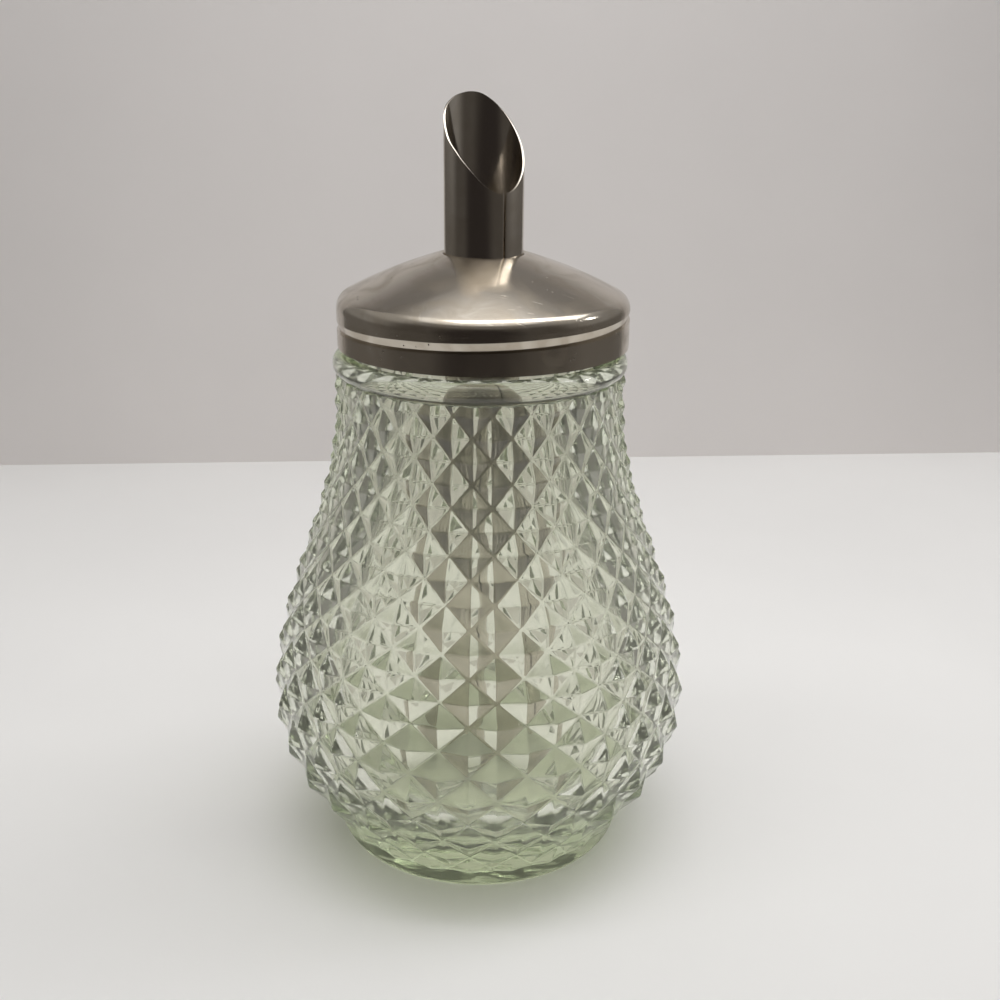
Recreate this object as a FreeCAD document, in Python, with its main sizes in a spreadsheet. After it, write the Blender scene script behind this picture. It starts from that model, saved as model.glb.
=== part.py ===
"""Glass sugar dispenser with a screwed steel lid and a pouring tube.

The jar is pressed glass with a diamond-point relief. The lid is thin pressed steel with a rolled
thread, and the pouring tube is a steel sheet rolled into a pipe with an open seam.

Frame: millimetres, +Z up, origin at the middle of the foot, on the surface that the jar stands on.
Angles round the jar are measured from the front (-Y) towards +X.
"""
import FreeCAD, Part
import math
import os

import Sketcher
from FreeCAD import Placement, Rotation, Vector

SIZES = [
    # Jar, outside
    ("columns", 24, "diamonds in one ring round the jar"),
    ("belly_radius", 44.35, "radius in the grooves at the widest place"),
    ("belly_height", 32.2, "height of the widest place"),
    ("neck_radius", 28.85, "radius in the grooves at the top of the pattern"),
    ("pattern_top", 104.8, "height where the pattern ends under the bead"),
    ("neck_straight", 4.8, "from the pattern's top down to where the jar starts to widen"),
    ("first_row_drop", 1.83, "from the pattern's top down to the first row of groove crossings"),
    ("upper_pitch", 4.45, "height between rows of crossings on the upper jar"),
    ("lower_pitch", 5.86, "height between rows of crossings from the belly down"),
    ("spread_rise", 22.6, "height above the belly where the rows start to spread apart"),
    ("relief", 1.6, "height of a diamond above its grooves"),
    ("foot_radius", 32.0, "radius of the plain foot"),
    ("foot_height", 4.2, "height of the plain foot"),
    ("foot_round", 1.2, "rounding of the foot's edge"),
    ("foot_step", 0.3, "from the foot out to the grooves just above it"),
    # Jar, neck and inside
    ("bead_round", 2.3, "radius of the bead's section"),
    ("bead_reach", 1.6, "how far the bead stands out past the grooves at the neck"),
    ("finish_step", 1.55, "from the grooves at the neck in to the plain neck inside the lid"),
    ("finish_height", 16.1, "height of the jar's rim above the pattern's top"),
    ("rim_wall", 2.8, "glass thickness at the mouth"),
    ("rim_round", 0.9, "rounding of the rim's edges"),
    ("glass_wall", 3.2, "glass thickness at the widest place, behind the grooves"),
    ("floor_thickness", 8.0, "glass thickness at the bottom"),
    # Screw thread
    ("thread_pitch", 5.08, "rise of the thread in one turn"),
    ("thread_height", 1.3, "height of the glass thread"),
    ("thread_turns", 1.1, "turns of the glass thread"),
    ("thread_start", 5.4, "from the bead's middle up to the glass thread's lower end"),
    ("thread_play", 0.9, "from the glass thread out to the lid"),
    # Lid
    ("sheet", 0.4, "thickness of the lid's sheet"),
    ("skirt_height", 7.6, "height of the lid's straight skirt"),
    ("shoulder_round", 3.2, "outer radius of the lid's shoulder"),
    ("dome_arc", 112.0, "outer radius of the dome's arc"),
    ("lid_height", 18.3, "height of the lid, from its edge to the top of the hole's lip"),
    ("lip_round", 0.6, "outer radius of the lip round the hole"),
    ("collar_depth", 3.0, "length of the collar, down from the top of the lip"),
    ("groove_round", 1.6, "radius of the rolled groove's section"),
    ("groove_depth", 0.6, "depth of the rolled groove"),
    ("groove_turns", 0.95, "turns of the rolled groove"),
    ("groove_middle", 4.55, "height of the rolled groove at the front, above the lid's edge"),
    ("lid_gap", 0.3, "clearance between the rim and the lid that rests on it"),
    ("lid_shift", 0.6, "how far the lid sits to one side, within its thread play"),
    ("lid_shift_angle", 92.0, "direction of that shift"),
    # Pouring tube
    ("tube_radius", 7.95, "outer radius of the tube"),
    ("tube_sheet", 0.4, "thickness of the tube's sheet"),
    ("seam_gap", 0.4, "opening of the seam"),
    ("seam_angle", 30.5, "direction of the seam"),
    ("cut_slope", 48.5, "slope of the tube's slanted mouth"),
    ("cut_rise", 22.1, "height of the slanted mouth's middle above the lid's top"),
    ("floor_gap", 5.5, "from the glass floor up to the tube's lower end"),
    ("collar_clearance", 0.1, "clearance between the tube and the lid's collar"),
]

# Sizes that follow from the ones above, as expressions of the sheet
SHOULDER_HEIGHT = "(sizes.pattern_top - sizes.neck_straight)"
NECK_ROOT = "(sizes.pattern_top - sizes.relief)"
BEAD_HEIGHT = "(sizes.pattern_top + sizes.bead_round)"
BEAD_CORE = "(sizes.neck_radius + sizes.bead_reach - sizes.bead_round)"
FINISH_RADIUS = "(sizes.neck_radius - sizes.finish_step)"
MOUTH_RADIUS = f"({FINISH_RADIUS} - sizes.rim_wall)"
RIM_HEIGHT = "(sizes.pattern_top + sizes.finish_height)"
LID_INSIDE = f"({FINISH_RADIUS} + sizes.thread_height + sizes.thread_play)"
LID_RADIUS = f"({LID_INSIDE} + sizes.sheet)"
COLLAR_INSIDE = "(sizes.tube_radius + sizes.collar_clearance)"
TUBE_BOTTOM = "(sizes.floor_thickness + sizes.floor_gap)"
MOUTH_HEIGHT = "(sizes.lid_edge + sizes.lid_height + sizes.cut_rise)"
GROOVE_START = "(sizes.groove_middle - sizes.groove_turns * sizes.thread_pitch / 2)"
TINY = 1.0e-3

doc = FreeCAD.newDocument("sugar_dispenser")
sheet = doc.addObject("Spreadsheet::Sheet", "sizes")
for line, (alias, value, note) in enumerate(SIZES, start=1):
    sheet.set(f"A{line}", note)
    sheet.set(f"B{line}", str(value))
    sheet.setAlias(f"B{line}", alias)
doc.recompute()


def size(alias):
    """A driving size from the sheet."""
    return float(sheet.get(alias))


def worked_out(expression):
    """The value of an expression of the sheet's sizes."""
    return float(sheet.evalExpression(expression))


def bind(thing, **expressions):
    """Tie properties of an object to expressions of the sheet."""
    for prop, expression in expressions.items():
        thing.setExpression(prop, expression)


def plane_of(body, role):
    """One of a body's own origin planes or axes, found by its role."""
    return next(f for f in body.Origin.OriginFeatures if f.Role == role)


def new_body(name):
    body = doc.addObject("PartDesign::Body", name)
    body.Label = name
    return body


def new_sketch(body, name, role):
    sketch = body.newObject("Sketcher::SketchObject", name)
    sketch.AttachmentSupport = [(plane_of(body, role), "")]
    sketch.MapMode = "FlatFace"
    return sketch


def wound(name, path_radius, section_radius, turns):
    """A round bar wound into a screw thread, from the +X side of its own frame."""
    path = doc.addObject("Part::Helix", name + "_path")
    bind(path, Radius=path_radius, Pitch="sizes.thread_pitch", Height=f"{turns} * sizes.thread_pitch")
    section = doc.addObject("Part::Circle", name + "_section")
    section.Placement.Rotation = Rotation(Vector(1, 0, 0), 90)
    section.setExpression("Placement.Base.x", path_radius)
    bind(section, Radius=section_radius)
    doc.recompute()
    bar = doc.addObject("Part::Sweep", name)
    bar.Sections = [section]
    bar.Spine = (path, [f"Edge{number}" for number in range(1, len(path.Shape.Edges) + 1)])
    bar.Solid = True
    bar.Frenet = True
    return bar


# ---------------------------------------------------------------------------- jar outline


def groove_radius(height):
    """Radius of the jar in its grooves: a quarter wave up to the belly, a half wave to the neck."""
    belly = size("belly_radius")
    belly_height = size("belly_height")
    shoulder = worked_out(SHOULDER_HEIGHT)
    if height >= shoulder:
        return size("neck_radius")
    if height >= belly_height:
        share = (height - belly_height) / (shoulder - belly_height)
        return belly + (size("neck_radius") - belly) * (1 - math.cos(math.pi * share)) / 2
    start = size("foot_radius") + size("foot_step")
    share = (height - size("foot_height")) / (belly_height - size("foot_height"))
    return start + (belly - start) * math.sin(math.pi / 2 * share)


def outline_slope(height, radius_at):
    """Change of radius for each millimetre of height."""
    step = 0.01
    return (radius_at(height + step) - radius_at(height - step)) / (2 * step)


def row_pitch(height):
    """Height from one row of groove crossings down to the next, which grows towards the belly."""
    share = min(max((height - size("belly_height")) / size("spread_rise"), 0), 1)
    blend = share * share * (3 - 2 * share)
    return size("lower_pitch") + (size("upper_pitch") - size("lower_pitch")) * blend


def row_heights():
    """Heights of the rows of groove crossings, from just above the pattern to just below it."""
    first = size("pattern_top") - size("first_row_drop")
    heights = [first + 2 * size("upper_pitch"), first + size("upper_pitch"), first]
    while heights[-2] > size("foot_height"):
        heights.append(heights[-1] - row_pitch(heights[-1]))
    return heights


def at_angle(radius, angle, height):
    """A point round the jar. The angle is in radians, from the front towards +X."""
    return Vector(radius * math.sin(angle), -radius * math.cos(angle), height)


def triangle(first, second, third):
    return Part.Face(Part.makePolygon([first, second, third, first]))


def diamond_belt():
    """The jar's patterned outside as a solid: one four-sided point on each diamond.

    Two sets of grooves wind round the jar and cross in rows. Every other row is turned by half a
    column, so that each diamond has a crossing above, below, left and right of its point.
    """
    heights = row_heights()
    column = 2 * math.pi / size("columns")
    count = int(size("columns"))

    def turn(row, place):
        return column * (place + (0.5 if row % 2 == 0 else 0.0))

    def crossing(row, place):
        return at_angle(groove_radius(heights[row]), turn(row, place), heights[row])

    def point(row, place):
        slope = outline_slope(heights[row], groove_radius)
        steep = math.hypot(1, slope)
        radius = groove_radius(heights[row]) + size("relief") / steep
        height = heights[row] - size("relief") * slope / steep
        return at_angle(radius, turn(row, place) + column / 2, height)

    faces = []
    last = len(heights) - 1
    for row in range(1, last):
        below_first = 0 if row % 2 == 1 else 1
        for place in range(count):
            left = crossing(row, place)
            right = crossing(row, place + 1)
            above = crossing(row - 1, place + below_first)
            below = crossing(row + 1, place + below_first)
            tip = point(row, place)
            faces += [
                triangle(tip, above, left),
                triangle(tip, left, below),
                triangle(tip, below, right),
                triangle(tip, right, above),
            ]
    for border, inner in ((0, 1), (last, last - 1)):
        middle = Vector(0, 0, heights[border])
        shift = 0 if inner % 2 == 1 else 1
        for place in range(count):
            edge = crossing(border, place + shift)
            faces.append(triangle(middle, crossing(inner, place), edge))
            faces.append(triangle(middle, edge, crossing(inner, place + 1)))
    shell = Part.makeShell(faces)
    solid = Part.makeSolid(shell)
    if solid.Volume < 0:
        solid.reverse()
    slab = Part.makeCylinder(
        2 * size("belly_radius"),
        size("pattern_top") - size("foot_height"),
        Vector(0, 0, size("foot_height")),
    )
    return solid.common(slab)


def cavity():
    """The space inside the jar: a smooth blown wall, a bowl-shaped floor and a straight mouth."""
    inner_belly = size("belly_radius") - size("glass_wall")
    mouth = worked_out(MOUTH_RADIUS)
    floor = size("floor_thickness")
    belly = size("belly_height")
    shoulder = worked_out(SHOULDER_HEIGHT)
    rim = worked_out(RIM_HEIGHT)
    flare = size("rim_round")

    steps = 12
    bowl = []
    for step in range(steps + 1):
        angle = math.pi / 2 * step / steps
        radius = inner_belly * math.sin(angle) ** 0.8
        bowl.append(Vector(radius, 0, belly - (belly - floor) * math.cos(angle) ** 0.8))
    wall = []
    for step in range(steps + 1):
        share = step / steps
        radius = inner_belly + (mouth - inner_belly) * (1 - math.cos(math.pi * share)) / 2
        wall.append(Vector(radius, 0, belly + (shoulder - belly) * share))

    up = Vector(0, 0, 1)
    out = Vector(1, 0, 0)
    bowl_curve = Part.BSplineCurve()
    bowl_curve.interpolate(Points=bowl, InitialTangent=out, FinalTangent=up)
    wall_curve = Part.BSplineCurve()
    wall_curve.interpolate(Points=wall, InitialTangent=up, FinalTangent=up)
    mouth_top = Vector(mouth, 0, rim - flare)
    flare_middle = Vector(
        mouth + flare * (1 - math.cos(math.pi / 4)), 0, rim - flare + flare * math.sin(math.pi / 4)
    )
    flare_end = Vector(mouth + flare, 0, rim)
    above = Vector(0, 0, rim)
    edges = [
        bowl_curve.toShape(),
        wall_curve.toShape(),
        Part.LineSegment(wall[-1], mouth_top).toShape(),
        Part.Arc(mouth_top, flare_middle, flare_end).toShape(),
        Part.LineSegment(flare_end, above).toShape(),
        Part.LineSegment(above, bowl[0]).toShape(),
    ]
    return Part.Face(Part.Wire(edges)).revolve(Vector(), up, 360)


# ---------------------------------------------------------------------------- jar


def make_foot():
    body = new_body("foot")
    sketch = new_sketch(body, "foot_circle", "XY_Plane")
    circle = sketch.addGeometry(Part.Circle(Vector(), Vector(0, 0, 1), size("foot_radius")))
    sketch.addConstraint(Sketcher.Constraint("Coincident", circle, 3, -1, 1))
    index = sketch.addConstraint(Sketcher.Constraint("Radius", circle, size("foot_radius")))
    sketch.setExpression(f"Constraints[{index}]", "sizes.foot_radius")
    pad = body.newObject("PartDesign::Pad", "foot_block")
    pad.Profile = sketch
    bind(pad, Length="sizes.foot_height + sizes.relief")
    doc.recompute()
    bottom = next(
        f"Edge{number}"
        for number, edge in enumerate(pad.Shape.Edges, start=1)
        if edge.BoundBox.ZMax < TINY
    )
    rounding = body.newObject("PartDesign::Fillet", "foot_rounding")
    rounding.Base = (pad, [bottom])
    bind(rounding, Radius="sizes.foot_round")
    return body


def make_neck():
    """The plain neck that the lid goes over."""
    body = new_body("neck")
    sketch = new_sketch(body, "neck_circle", "XY_Plane")
    circle = sketch.addGeometry(Part.Circle(Vector(), Vector(0, 0, 1), worked_out(FINISH_RADIUS)))
    sketch.addConstraint(Sketcher.Constraint("Coincident", circle, 3, -1, 1))
    index = sketch.addConstraint(Sketcher.Constraint("Radius", circle, worked_out(FINISH_RADIUS)))
    sketch.setExpression(f"Constraints[{index}]", FINISH_RADIUS)
    pad = body.newObject("PartDesign::Pad", "neck_block")
    pad.Profile = sketch
    bind(pad, Length=f"{RIM_HEIGHT} - {NECK_ROOT}")
    doc.recompute()
    top = next(
        f"Edge{number}"
        for number, edge in enumerate(pad.Shape.Edges, start=1)
        if edge.BoundBox.ZMin > pad.Length.Value - TINY
    )
    rounding = body.newObject("PartDesign::Fillet", "rim_rounding")
    rounding.Base = (pad, [top])
    bind(rounding, Radius="sizes.rim_round")
    body.Placement.Base = Vector(0, 0, worked_out(NECK_ROOT))
    return body


def make_jar(groove_start_angle):
    """The glass: patterned belt, foot, bead and neck in one piece, hollowed by the cavity."""
    belt = doc.addObject("Part::Feature", "belt")
    belt.Shape = diamond_belt()
    inside = doc.addObject("Part::Feature", "inside")
    inside.Shape = cavity()
    foot = make_foot()
    neck = make_neck()

    # The glass thread keeps half a pitch away from the lid's groove all the way round
    sunk = "0.3 * sizes.thread_height"
    thread = wound(
        "glass_thread",
        f"{FINISH_RADIUS} - {sunk}",
        f"sizes.thread_height + {sunk}",
        "sizes.thread_turns",
    )
    start = worked_out(BEAD_HEIGHT) + size("thread_start")
    turns_up = (start - size("lid_edge") - worked_out(GROOVE_START)) / size("thread_pitch")
    angle = groove_start_angle + 360 * (turns_up - 0.5)
    thread.Placement = Placement(Vector(0, 0, start), Rotation(Vector(0, 0, 1), angle))

    bead = doc.addObject("Part::Torus", "bead")
    bind(bead, Radius1=BEAD_CORE, Radius2="sizes.bead_round")
    bead.Placement.Base = Vector(0, 0, worked_out(BEAD_HEIGHT))
    core = doc.addObject("Part::Cylinder", "bead_core")
    bind(core, Radius=BEAD_CORE, Height=f"{BEAD_HEIGHT} + sizes.bead_round - {NECK_ROOT}")
    core.Placement.Base = Vector(0, 0, worked_out(NECK_ROOT))

    outside = doc.addObject("Part::MultiFuse", "outside")
    outside.Shapes = [belt, foot, neck, thread, bead, core]
    jar = doc.addObject("Part::Cut", "glass_jar")
    jar.Base = outside
    jar.Tool = inside
    jar.Label = "glass_jar"
    return jar


# ---------------------------------------------------------------------------- lid


def dome_centre():
    """Centre of the dome's arc, which runs into the shoulder and into the lip without a corner."""
    shoulder = Vector(worked_out(LID_RADIUS) - size("shoulder_round"), size("skirt_height"), 0)
    lip = Vector(
        worked_out(COLLAR_INSIDE) + size("lip_round"), size("lid_height") - size("lip_round"), 0
    )
    to_shoulder = size("dome_arc") - size("shoulder_round")
    to_lip = size("dome_arc") - size("lip_round")
    between = lip - shoulder
    gap = between.Length
    along = (to_shoulder**2 - to_lip**2 + gap**2) / (2 * gap)
    aside = math.sqrt(to_shoulder**2 - along**2)
    forward = Vector(between).normalize()
    downward = Vector(forward.y, -forward.x, 0)
    if downward.y > 0:
        downward = -downward
    return shoulder + forward * along + downward * aside, shoulder, lip


def lid_underside(radius):
    """Height of the dome's underside above the lid's edge, at a distance from the lid's axis."""
    centre, shoulder, _ = dome_centre()
    joint = centre + (shoulder - centre).normalize() * (size("dome_arc") - size("sheet"))
    if radius <= joint.x:
        reach = size("dome_arc") - size("sheet")
        return centre.y + math.sqrt(reach**2 - (radius - centre.x) ** 2)
    reach = size("shoulder_round") - size("sheet")
    across = min(radius - shoulder.x, reach)
    return shoulder.y + math.sqrt(reach**2 - across**2)


def lid_place():
    """Height of the lid's edge with the dome just above the jar's rounded rim."""
    highest = 0.0
    for degrees in range(0, 95, 5):
        angle = math.radians(degrees)
        inward = size("rim_round") * (1 - math.sin(angle))
        radius = worked_out(FINISH_RADIUS) - inward + size("lid_shift")
        height = worked_out(RIM_HEIGHT) - size("rim_round") * (1 - math.cos(angle))
        highest = max(highest, height - lid_underside(radius))
    return highest + size("lid_gap")


def lid_profile(sketch):
    """The closed section of the pressed sheet, from the skirt's edge over the dome to the collar."""
    skirt = worked_out(LID_RADIUS)
    inside = worked_out(LID_INSIDE)
    hole = worked_out(COLLAR_INSIDE)
    thick = size("sheet")
    top = size("lid_height")
    collar_end = top - size("collar_depth")
    centre, shoulder, lip = dome_centre()
    towards_shoulder = (shoulder - centre).normalize()
    towards_lip = (lip - centre).normalize()
    outer_arc = size("dome_arc")
    inner_arc = outer_arc - thick
    underside_end = Vector(hole + thick, 0, 0)
    underside_end.y = centre.y + math.sqrt(inner_arc**2 - (underside_end.x - centre.x) ** 2)

    def direction(centre_point, target):
        return math.atan2(target.y - centre_point.y, target.x - centre_point.x)

    def line(first, second):
        return sketch.addGeometry(Part.LineSegment(first, second))

    def arc(centre_point, radius, start, end):
        circle = Part.Circle(centre_point, Vector(0, 0, 1), radius)
        return sketch.addGeometry(Part.ArcOfCircle(circle, start, end))

    shoulder_angle = direction(centre, shoulder)
    lip_angle = direction(centre, lip)
    edge = line(Vector(inside, 0, 0), Vector(skirt, 0, 0))
    outer_skirt = line(Vector(skirt, 0, 0), Vector(skirt, shoulder.y, 0))
    outer_shoulder = arc(shoulder, size("shoulder_round"), 0, shoulder_angle)
    outer_dome = arc(centre, outer_arc, shoulder_angle, lip_angle)
    lip_arc = arc(lip, size("lip_round"), lip_angle, math.pi)
    collar_inner = line(Vector(hole, lip.y, 0), Vector(hole, collar_end, 0))
    collar_edge = line(Vector(hole, collar_end, 0), Vector(hole + thick, collar_end, 0))
    collar_outer = line(Vector(hole + thick, collar_end, 0), underside_end)
    inner_dome = arc(centre, inner_arc, shoulder_angle, direction(centre, underside_end))
    inner_shoulder = arc(shoulder, size("shoulder_round") - thick, 0, shoulder_angle)
    inner_skirt = line(Vector(inside, shoulder.y, 0), Vector(inside, 0, 0))

    rules = [
        ("Coincident", edge, 2, outer_skirt, 1),
        ("Tangent", outer_skirt, 2, outer_shoulder, 1),
        ("Tangent", outer_shoulder, 2, outer_dome, 1),
        ("Tangent", outer_dome, 2, lip_arc, 1),
        ("Tangent", lip_arc, 2, collar_inner, 1),
        ("Coincident", collar_inner, 2, collar_edge, 1),
        ("Coincident", collar_edge, 2, collar_outer, 1),
        ("Coincident", collar_outer, 2, inner_dome, 2),
        ("Tangent", inner_dome, 1, inner_shoulder, 2),
        ("Tangent", inner_shoulder, 1, inner_skirt, 1),
        ("Coincident", inner_skirt, 2, edge, 1),
        ("Coincident", inner_shoulder, 3, outer_shoulder, 3),
        ("Coincident", inner_dome, 3, outer_dome, 3),
        ("Horizontal", edge),
        ("Vertical", outer_skirt),
        ("Vertical", collar_inner),
        ("Horizontal", collar_edge),
        ("Vertical", collar_outer),
        ("PointOnObject", edge, 1, -1),
    ]
    for rule in rules:
        sketch.addConstraint(Sketcher.Constraint(*rule))
    measures = [
        (("DistanceX", -1, 1, edge, 2, skirt), LID_RADIUS),
        (("DistanceX", edge, 1, edge, 2, thick), "sizes.sheet"),
        (("DistanceY", outer_skirt, 1, outer_skirt, 2, shoulder.y), "sizes.skirt_height"),
        (("Radius", outer_shoulder, size("shoulder_round")), "sizes.shoulder_round"),
        (("Radius", outer_dome, outer_arc), "sizes.dome_arc"),
        (("Radius", lip_arc, size("lip_round")), "sizes.lip_round"),
        (("DistanceY", -1, 1, lip_arc, 3, lip.y), "sizes.lid_height - sizes.lip_round"),
        (("DistanceX", -1, 1, collar_inner, 2, hole), COLLAR_INSIDE),
        (("DistanceY", -1, 1, collar_inner, 2, collar_end), "sizes.lid_height - sizes.collar_depth"),
        (("DistanceX", collar_edge, 1, collar_edge, 2, thick), "sizes.sheet"),
    ]
    for measure, expression in measures:
        index = sketch.addConstraint(Sketcher.Constraint(*measure))
        sketch.setExpression(f"Constraints[{index}]", expression)


def make_lid():
    """Pressed steel lid. The rolled groove shows outside and stands in as a ridge inside."""
    body = new_body("pressed_lid")
    profile = new_sketch(body, "sheet_section", "XZ_Plane")
    lid_profile(profile)
    pressed = body.newObject("PartDesign::Revolution", "pressed_sheet")
    pressed.Profile = profile
    pressed.ReferenceAxis = (profile, ["V_Axis"])
    pressed.Angle = 360

    path_radius = f"{LID_RADIUS} + sizes.groove_round - sizes.groove_depth"
    ridge = wound("ridge", path_radius, "sizes.groove_round + sizes.sheet", "sizes.groove_turns")
    groove = wound("groove", path_radius, "sizes.groove_round", "sizes.groove_turns")
    for bar in (ridge, groove):
        bar.Placement.Base = Vector(0, 0, worked_out(GROOVE_START))
    # Only the part of the ridge within the skirt's outer face is sheet
    skirt = doc.addObject("Part::Cylinder", "skirt_fill")
    bind(skirt, Radius=LID_RADIUS, Height="sizes.skirt_height")
    ridge_inside = doc.addObject("Part::Common", "ridge_inside")
    ridge_inside.Base = ridge
    ridge_inside.Tool = skirt
    ridged = doc.addObject("Part::Fuse", "ridged_lid")
    ridged.Base = body
    ridged.Tool = ridge_inside
    lid = doc.addObject("Part::Cut", "lid")
    lid.Base = ridged
    lid.Tool = groove
    lid.Label = "lid"
    return lid


# ---------------------------------------------------------------------------- pouring tube


def make_tube():
    """A rolled sheet with an open seam, cut slanting at the top with its lowest place at the seam."""
    body = new_body("pouring_tube")
    outer = size("tube_radius")
    inner = outer - size("tube_sheet")
    half = size("seam_gap") / 2
    section = new_sketch(body, "rolled_section", "XY_Plane")
    outer_start = math.asin(half / outer) - math.pi / 2
    inner_start = math.asin(half / inner) - math.pi / 2

    def arc(radius, start):
        circle = Part.Circle(Vector(), Vector(0, 0, 1), radius)
        return section.addGeometry(Part.ArcOfCircle(circle, start, math.pi - start))

    def line(side):
        inner_end = Vector(side * half, -math.sqrt(inner**2 - half**2), 0)
        outer_end = Vector(side * half, -math.sqrt(outer**2 - half**2), 0)
        return section.addGeometry(Part.LineSegment(inner_end, outer_end))

    outside = arc(outer, outer_start)
    inside = arc(inner, inner_start)
    right = line(1)
    left = line(-1)
    rules = [
        ("Coincident", outside, 3, -1, 1),
        ("Coincident", inside, 3, -1, 1),
        ("Coincident", inside, 1, right, 1),
        ("Coincident", outside, 1, right, 2),
        ("Coincident", inside, 2, left, 1),
        ("Coincident", outside, 2, left, 2),
        ("Vertical", right),
        ("Vertical", left),
    ]
    for rule in rules:
        section.addConstraint(Sketcher.Constraint(*rule))
    measures = [
        (("Radius", outside, outer), "sizes.tube_radius"),
        (("Radius", inside, inner), "sizes.tube_radius - sizes.tube_sheet"),
        (("DistanceX", -1, 1, right, 2, half), "sizes.seam_gap / 2"),
        (("DistanceX", left, 2, -1, 1, half), "sizes.seam_gap / 2"),
    ]
    for measure, expression in measures:
        index = section.addConstraint(Sketcher.Constraint(*measure))
        section.setExpression(f"Constraints[{index}]", expression)

    middle = f"({MOUTH_HEIGHT} - {TUBE_BOTTOM})"
    across = "(2 * sizes.tube_radius)"
    climb = f"({across} * tan(sizes.cut_slope * 1 deg))"
    pad = body.newObject("PartDesign::Pad", "rolled_sheet")
    pad.Profile = section
    bind(pad, Length=f"{middle} + 0.75 * {climb}")
    doc.recompute()

    # The cut removes what lies above a slanted line that falls towards the seam, at -Y
    cut = new_sketch(body, "slanted_mouth", "YZ_Plane")
    reach = 2 * outer
    rise = worked_out(climb)
    top = worked_out(middle) + rise
    low_end = Vector(-reach, top - 2 * rise, 0)
    high_end = Vector(reach, top, 0)
    corner = Vector(-reach, top, 0)
    slope_line = cut.addGeometry(Part.LineSegment(low_end, high_end))
    top_side = cut.addGeometry(Part.LineSegment(high_end, corner))
    left_side = cut.addGeometry(Part.LineSegment(corner, low_end))
    rules = [
        ("Coincident", slope_line, 2, top_side, 1),
        ("Coincident", top_side, 2, left_side, 1),
        ("Coincident", left_side, 2, slope_line, 1),
        ("Horizontal", top_side),
        ("Vertical", left_side),
    ]
    for rule in rules:
        cut.addConstraint(Sketcher.Constraint(*rule))
    measures = [
        (("DistanceX", -1, 1, top_side, 1, reach), across),
        (("DistanceY", -1, 1, top_side, 1, top), f"{middle} + {climb}"),
        (("DistanceX", top_side, 2, top_side, 1, 2 * reach), f"2 * {across}"),
        (("DistanceY", left_side, 2, left_side, 1, 2 * rise), f"2 * {climb}"),
    ]
    for measure, expression in measures:
        index = cut.addConstraint(Sketcher.Constraint(*measure))
        cut.setExpression(f"Constraints[{index}]", expression)
    before = pad.Shape.Volume
    pocket = body.newObject("PartDesign::Pocket", "slanted_cut")
    pocket.Profile = cut
    pocket.Type = "ThroughAll"
    pocket.Midplane = True
    doc.recompute()
    if not 0.5 * before < pocket.Shape.Volume < before:
        raise RuntimeError("the slanted cut did not cut the tube's top")
    return body


# ---------------------------------------------------------------------------- assembly

# The height of the lid's edge is worked out from the sizes of the rim and the dome, and kept
# with them for the pieces that follow it
edge_line = len(SIZES) + 1
sheet.set(f"A{edge_line}", "height of the lid's edge, worked out")
sheet.set(f"B{edge_line}", str(lid_place()))
sheet.setAlias(f"B{edge_line}", "lid_edge")
doc.recompute()

groove_start_angle = -90 - 180 * size("groove_turns")
shift_angle = math.radians(size("lid_shift_angle"))

jar = make_jar(groove_start_angle)
lid = make_lid()
tube = make_tube()
lid.Placement = Placement(
    at_angle(size("lid_shift"), shift_angle, size("lid_edge")),
    Rotation(Vector(0, 0, 1), groove_start_angle),
)
tube.Placement = Placement(
    at_angle(size("lid_shift"), shift_angle, worked_out(TUBE_BOTTOM)),
    Rotation(Vector(0, 0, 1), size("seam_angle")),
)
doc.recompute()

for thing in doc.Objects:
    if "Invalid" in thing.State or "Error" in thing.State:
        raise RuntimeError(f"{thing.Name} did not compute: {thing.State}")

os.makedirs("parts", exist_ok=True)
for node in (jar, lid, tube):
    shape = node.Shape
    if shape.isNull() or not shape.isValid() or len(shape.Solids) != 1:
        raise RuntimeError(f"{node.Label} is not one valid solid")
    shape.exportStep(f"parts/{node.Label}.step")
    print(node.Label, round(shape.Volume, 1), "mm3", shape.BoundBox)
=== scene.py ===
"""Glass sugar dispenser: a pressed-glass jar with diamond points, a domed steel screw lid and a
pouring tube rolled from steel sheet. Metres, +Z up, the jar's axis at X = Y = 0, its foot at Z = 0.
"""

import math

import bpy
from mathutils import Matrix, Vector


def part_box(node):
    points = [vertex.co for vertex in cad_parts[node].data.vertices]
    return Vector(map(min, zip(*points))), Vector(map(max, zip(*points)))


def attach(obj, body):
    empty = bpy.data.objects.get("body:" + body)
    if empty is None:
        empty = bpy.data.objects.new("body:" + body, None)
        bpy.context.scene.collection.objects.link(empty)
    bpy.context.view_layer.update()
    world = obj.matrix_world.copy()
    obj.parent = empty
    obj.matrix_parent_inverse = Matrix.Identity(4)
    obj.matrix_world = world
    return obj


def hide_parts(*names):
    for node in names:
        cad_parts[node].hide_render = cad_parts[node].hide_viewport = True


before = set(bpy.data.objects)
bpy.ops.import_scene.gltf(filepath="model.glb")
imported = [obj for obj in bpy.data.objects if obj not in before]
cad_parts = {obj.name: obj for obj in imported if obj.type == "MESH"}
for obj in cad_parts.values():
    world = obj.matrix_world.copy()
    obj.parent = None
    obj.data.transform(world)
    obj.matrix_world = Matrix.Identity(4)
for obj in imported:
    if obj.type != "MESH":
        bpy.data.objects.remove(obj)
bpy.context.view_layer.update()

MM = 0.001

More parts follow.
